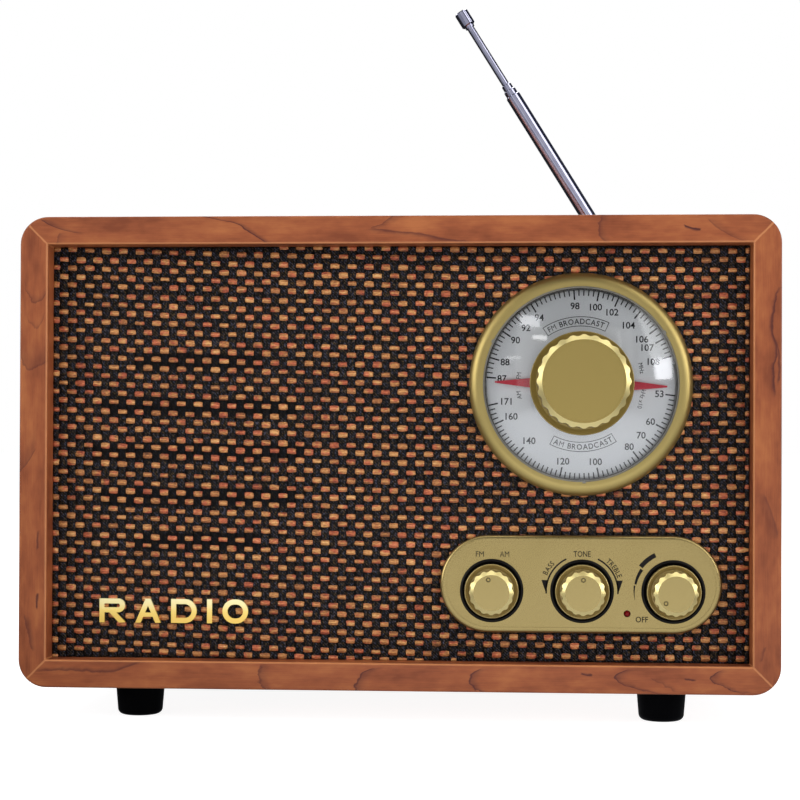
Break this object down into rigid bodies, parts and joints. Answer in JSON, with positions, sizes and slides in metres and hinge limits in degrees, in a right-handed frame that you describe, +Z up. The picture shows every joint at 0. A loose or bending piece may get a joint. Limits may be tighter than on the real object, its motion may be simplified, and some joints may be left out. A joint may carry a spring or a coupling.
{
  "type": "tabletop radio",
  "caption": "Wood-cased tabletop radio with woven grille, round tuning dial, control knobs and a telescopic antenna.",
  "frame": {"origin": "on the surface that the feet stand on, under the centre of the whole object's box at rest", "axes": "+X to the radio's right as seen from the front, +Y from front to back, +Z up; the dial faces -Y"},
  "size_m": [0.25, 0.1512, 0.2651],
  "materials": {
    "cherry_wood": "satin lacquer over reddish figured veneer",
    "baffle_board": "dark stained fibreboard",
    "glue_block": "bare softwood",
    "grille_fabric": "coarse basket weave, brown ribbons over black twisted warp",
    "gold_satin": "satin gold",
    "badge_gold": "polished",
    "lens_clear": "clear polished",
    "dial_silver": "light silver grey with black printing",
    "pointer_red": "bright red",
    "ring_black": "glossy black",
    "black_plastic": "fine texture",
    "rubber_black": "matt",
    "led_red": "translucent red, unlit",
    "chrome": "polished",
    "screw_black": "black oxide",
    "shaft_steel": "turned",
    "pressed_steel": "plated and blackened",
    "magnet_ferrite": "matt grey-black",
    "cone_paper": "pressed paper",
    "surround_rubber": "soft",
    "spider_cloth": "resin-stiffened cloth",
    "copper_wire": "enamelled copper",
    "circuit_board": "green laminate",
    "component_grey": "moulded",
    "laminations": "varnished laminations"
  },
  "bodies": {
    "cabinet": {"cabinet_top": "cherry_wood", "cabinet_bottom": "cherry_wood", "cabinet_left_side": "cherry_wood", "cabinet_right_side": "cherry_wood", "corner_blocks": "glue_block", "foot_front_left": "rubber_black", "foot_front_right": "rubber_black", "foot_rear_left": "rubber_black", "foot_rear_right": "rubber_black", "case_screws": "screw_black", "baffle_screws": "screw_black", "front_baffle": "baffle_board", "grille_cloth": "grille_fabric", "name_badge": "badge_gold", "dial_bezel": "gold_satin", "dial_lens": "lens_clear", "dial_plate": "dial_silver", "dial_housing": "black_plastic", "tuning_capacitor": "component_grey", "control_panel": "gold_satin", "control_carrier": "ring_black", "band_switch": "component_grey", "tone_potentiometer": "component_grey", "volume_potentiometer": "component_grey", "control_board": "circuit_board", "power_led": "led_red", "speaker_frame": "pressed_steel", "speaker_surround": "surround_rubber", "speaker_spider": "spider_cloth", "speaker_top_plate": "pressed_steel", "speaker_magnet": "magnet_ferrite", "speaker_yoke": "pressed_steel", "rear_panel": "black_plastic", "mains_inlet": "ring_black", "aux_jack": "ring_black", "main_board": "circuit_board", "transformer_core": "laminations", "transformer_winding": "copper_wire", "ferrite_rod": "magnet_ferrite", "ferrite_coil": "copper_wire", "antenna_base": "black_plastic"},
    "tuning": {"tuning_shaft": "shaft_steel", "dial_pointer": "pointer_red", "tuning_knob": "gold_satin"},
    "band_control": {"band_knob": "gold_satin", "band_shaft": "shaft_steel"},
    "tone_control": {"tone_knob": "gold_satin", "tone_shaft": "shaft_steel"},
    "volume_control": {"volume_knob": "gold_satin", "volume_shaft": "shaft_steel"},
    "speaker_diaphragm": {"speaker_cone": "cone_paper", "dust_cap": "cone_paper", "voice_coil": "copper_wire"},
    "antenna_turntable": {"antenna_swivel": "chrome", "antenna_pivot_pin": "chrome"},
    "antenna_mast": {"antenna_outer_tube": "chrome"},
    "antenna_slide_2": {"antenna_section_2": "chrome"},
    "antenna_slide_3": {"antenna_section_3": "chrome"},
    "antenna_slide_rod": {"antenna_rod": "chrome", "antenna_tip": "chrome"}
  },
  "joints": [
    {"name": "tuning_turn", "type": "hinge", "parent": "cabinet", "child": "tuning", "pos_m": [0.0605, -0.0386, 0.1118], "axis": [0, 1, 0], "range_deg": [0, 170]},
    {"name": "band_turn", "type": "hinge", "parent": "cabinet", "child": "band_control", "pos_m": [0.0314, -0.0406, 0.04375], "axis": [0, 1, 0], "range_deg": [0, 35]},
    {"name": "tone_turn", "type": "hinge", "parent": "cabinet", "child": "tone_control", "pos_m": [0.06105, -0.0406, 0.04375], "axis": [0, 1, 0], "range_deg": [-140, 140]},
    {"name": "volume_turn", "type": "hinge", "parent": "cabinet", "child": "volume_control", "pos_m": [0.09085, -0.0406, 0.04375], "axis": [0, 1, 0], "range_deg": [0, 270]},
    {"name": "cone_travel", "type": "slide", "parent": "cabinet", "child": "speaker_diaphragm", "axis": [0, -1, 0], "range_m": [-0.0015, 0.0015], "stiffness_N_per_m": 1500, "deforming": ["speaker_surround", "speaker_spider"]},
    {"name": "antenna_rotate", "type": "hinge", "parent": "cabinet", "child": "antenna_turntable", "pos_m": [0.09, 0.0714, 0.147], "axis": [0, 1, 0], "range_deg": [-58, 121.5]},
    {"name": "antenna_tilt", "type": "hinge", "parent": "antenna_turntable", "child": "antenna_mast", "pos_m": [0.09, 0.0714, 0.147], "axis": [-0.849, 0, -0.5284], "range_deg": [0, 90]},
    {"name": "antenna_pull_2", "type": "slide", "parent": "antenna_mast", "child": "antenna_slide_2", "axis": [-0.5284, 0, 0.849], "range_m": [0, 0.07]},
    {"name": "antenna_pull_3", "type": "slide", "parent": "antenna_slide_2", "child": "antenna_slide_3", "axis": [-0.5284, 0, 0.849], "range_m": [0, 0.068]},
    {"name": "antenna_pull_rod", "type": "slide", "parent": "antenna_slide_3", "child": "antenna_slide_rod", "axis": [-0.5284, 0, 0.849], "range_m": [-0.0264, 0.041]}
  ]
}
